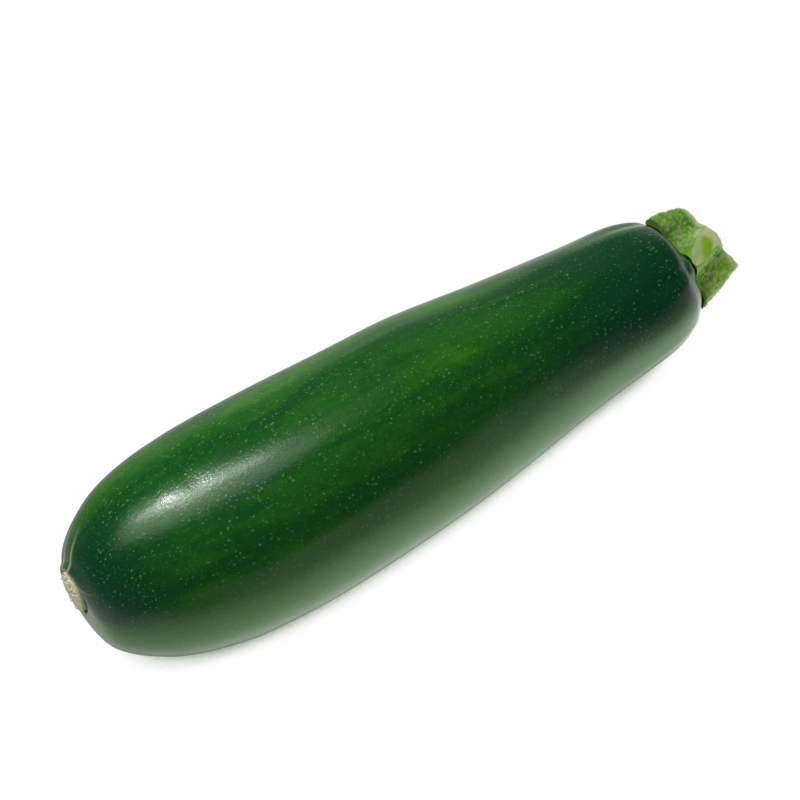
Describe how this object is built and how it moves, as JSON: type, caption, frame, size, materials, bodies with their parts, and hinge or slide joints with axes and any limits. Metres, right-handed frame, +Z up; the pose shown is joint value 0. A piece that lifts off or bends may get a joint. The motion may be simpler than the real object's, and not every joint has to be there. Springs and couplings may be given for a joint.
{
  "type": "courgette",
  "caption": "Whole dark green courgette lying on its side, with speckled glossy skin, a short ribbed stem and a dry flower scar.",
  "frame": {"origin": "on the table, under the middle of the box round the whole courgette", "axes": "+X along the fruit from the flower end to the stem end, +Z up"},
  "size_m": [0.184, 0.0538, 0.0529],
  "materials": {
    "skin": "satin",
    "stem": "matte",
    "scar": "matte"
  },
  "bodies": {
    "root": {"fruit": "skin", "stem": "stem", "blossom_scar": "scar"}
  },
  "joints": []
}
